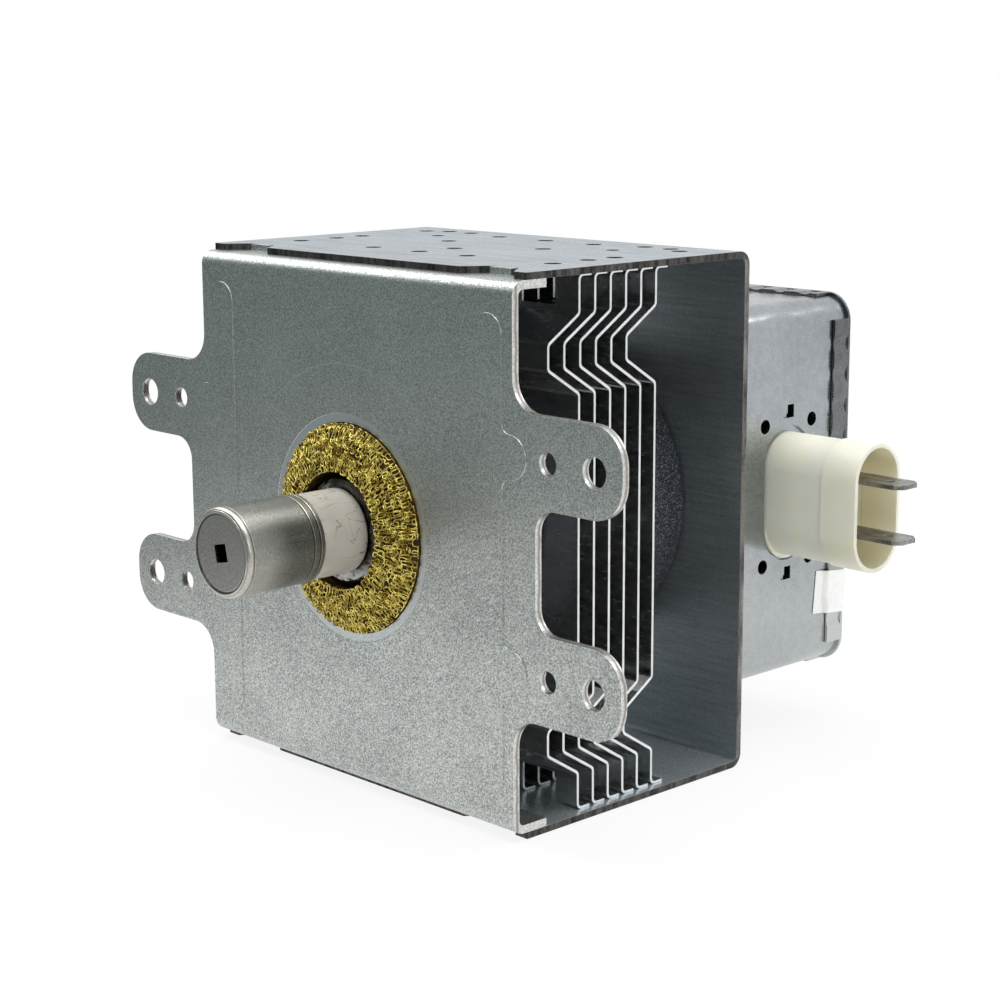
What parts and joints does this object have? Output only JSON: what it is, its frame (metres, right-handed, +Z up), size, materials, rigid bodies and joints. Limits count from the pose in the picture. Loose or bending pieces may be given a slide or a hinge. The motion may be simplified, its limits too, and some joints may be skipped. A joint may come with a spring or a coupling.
{
  "type": "magnetron",
  "caption": "Packaged microwave-oven magnetron: capped antenna and wire gasket on an eared plate, folded yoke round ring magnets and cooling fins, and a filter box with a two-tab connector",
  "frame": {"origin": "on the antenna's axis, at the outer face of the front plate, midway between the ears' holes", "axes": "X to the connector side, Y back from the mounting face towards the filter box, Z up; the antenna points along -Y"},
  "size_m": [0.126, 0.12, 0.0914],
  "materials": {
    "plate_zinc": "matte zinc-coated steel sheet, lightly speckled",
    "yoke_zinc": "bluish zinc-coated steel sheet, brushed",
    "box_zinc": "shiny thin zinc-coated steel",
    "gasket_brass": "knitted brass wire",
    "ferrite": "matte charcoal ferrite",
    "cap_nickel": "satin drawn metal",
    "seal_steel": "satin drawn metal",
    "white_ceramic": "off-white fired alumina",
    "pole_iron": "plain iron",
    "copper": "bare copper",
    "cathode_metal": "dark drawn metal",
    "fin_aluminium": "bright thin aluminium",
    "ivory_plastic": "ivory moulded plastic",
    "capacitor_brown": "brown potting resin over ceramic",
    "tab_tin": "dull tinned strip",
    "enamelled_wire": "enamelled copper wire"
  },
  "bodies": {
    "root": {"front_plate": "plate_zinc", "rear_yoke": "yoke_zinc", "filter_box": "box_zinc", "filter_cover": "box_zinc", "ground_plate": "box_zinc", "rf_gasket": "gasket_brass", "front_magnet": "ferrite", "rear_magnet": "ferrite", "upper_choke_core": "ferrite", "lower_choke_core": "ferrite", "antenna_cap": "cap_nickel", "exhaust_holder": "cap_nickel", "output_sleeve": "seal_steel", "input_sleeve": "seal_steel", "output_ceramic": "white_ceramic", "stem_ceramic": "white_ceramic", "output_pole_piece": "pole_iron", "input_pole_piece": "pole_iron", "anode_cylinder": "copper", "exhaust_tube": "copper", "antenna_lead": "copper", "anode_vane_1": "copper", "anode_vane_2": "copper", "anode_vane_3": "copper", "anode_vane_4": "copper", "anode_vane_5": "copper", "anode_vane_6": "copper", "anode_vane_7": "copper", "anode_vane_8": "copper", "anode_vane_9": "copper", "anode_vane_10": "copper", "front_strap_inner": "copper", "front_strap_outer": "copper", "rear_strap_inner": "copper", "rear_strap_outer": "copper", "filament": "cathode_metal", "output_end_hat": "cathode_metal", "input_end_hat": "cathode_metal", "centre_lead": "cathode_metal", "side_lead": "cathode_metal", "cooling_fin_1": "fin_aluminium", "cooling_fin_2": "fin_aluminium", "cooling_fin_3": "fin_aluminium", "cooling_fin_4": "fin_aluminium", "cooling_fin_5": "fin_aluminium", "cooling_fin_6": "fin_aluminium", "capacitor_case": "ivory_plastic", "capacitor_inner_case": "ivory_plastic", "capacitor_body": "capacitor_brown", "upper_tab": "tab_tin", "lower_tab": "tab_tin", "centre_terminal": "tab_tin", "side_terminal": "tab_tin", "upper_choke_coil": "enamelled_wire", "lower_choke_coil": "enamelled_wire"}
  },
  "joints": []
}
